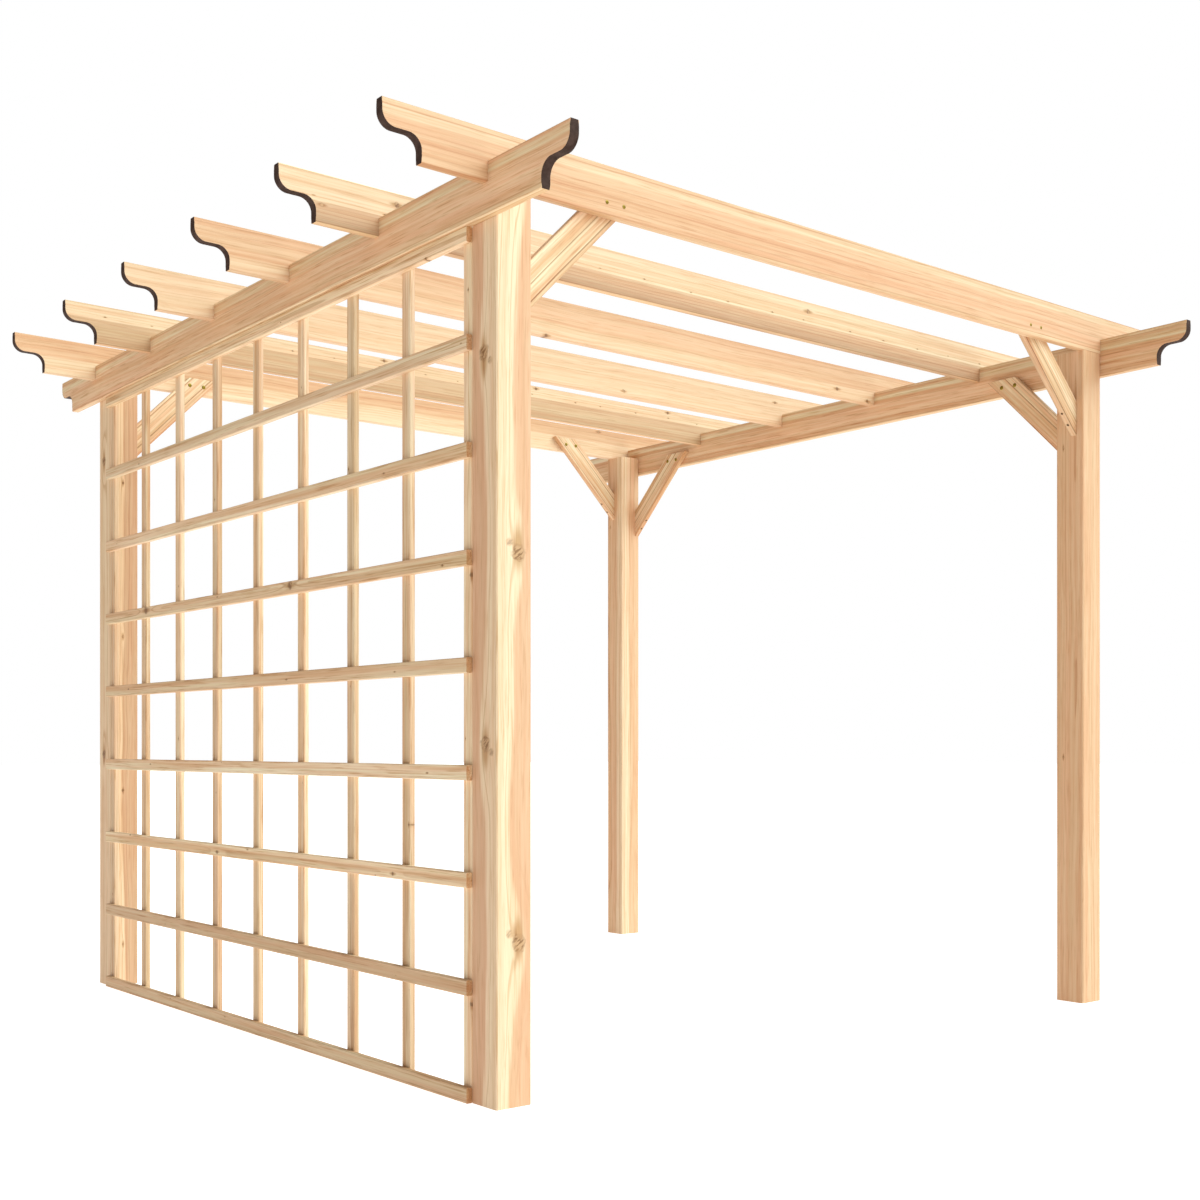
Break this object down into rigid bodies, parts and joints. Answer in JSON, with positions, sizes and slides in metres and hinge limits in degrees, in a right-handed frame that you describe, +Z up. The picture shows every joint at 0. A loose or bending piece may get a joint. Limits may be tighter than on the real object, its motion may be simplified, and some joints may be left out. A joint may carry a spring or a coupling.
{
  "type": "pergola",
  "caption": "Free-standing timber garden pergola: square posts, scroll-ended beams and rafters halved into each other, diagonal braces and a trellis side.",
  "frame": {"origin": "on the ground, in the middle of the plan", "axes": "+Z up, +X along the rafters away from the trellis, +Y along the beams from front to back"},
  "size_m": [3, 3, 2.22],
  "materials": {
    "post_timber": "planed",
    "beam_timber": "planed",
    "rafter_timber": "planed",
    "brace_timber": "planed",
    "trellis_timber": "planed",
    "stained_end": "stained",
    "screw": "satin"
  },
  "bodies": {
    "root": {"post_front_left": "post_timber", "post_front_right": "post_timber", "post_back_left": "post_timber", "post_back_right": "post_timber", "beam_left": "beam_timber", "beam_right": "beam_timber", "rafter_1": "rafter_timber", "rafter_2": "rafter_timber", "rafter_3": "rafter_timber", "rafter_4": "rafter_timber", "rafter_5": "rafter_timber", "rafter_6": "rafter_timber", "brace_front_left": "brace_timber", "brace_front_right": "brace_timber", "brace_back_left": "brace_timber", "brace_back_right": "brace_timber", "brace_side_front": "brace_timber", "brace_side_back": "brace_timber", "trellis": "trellis_timber"}
  },
  "joints": []
}
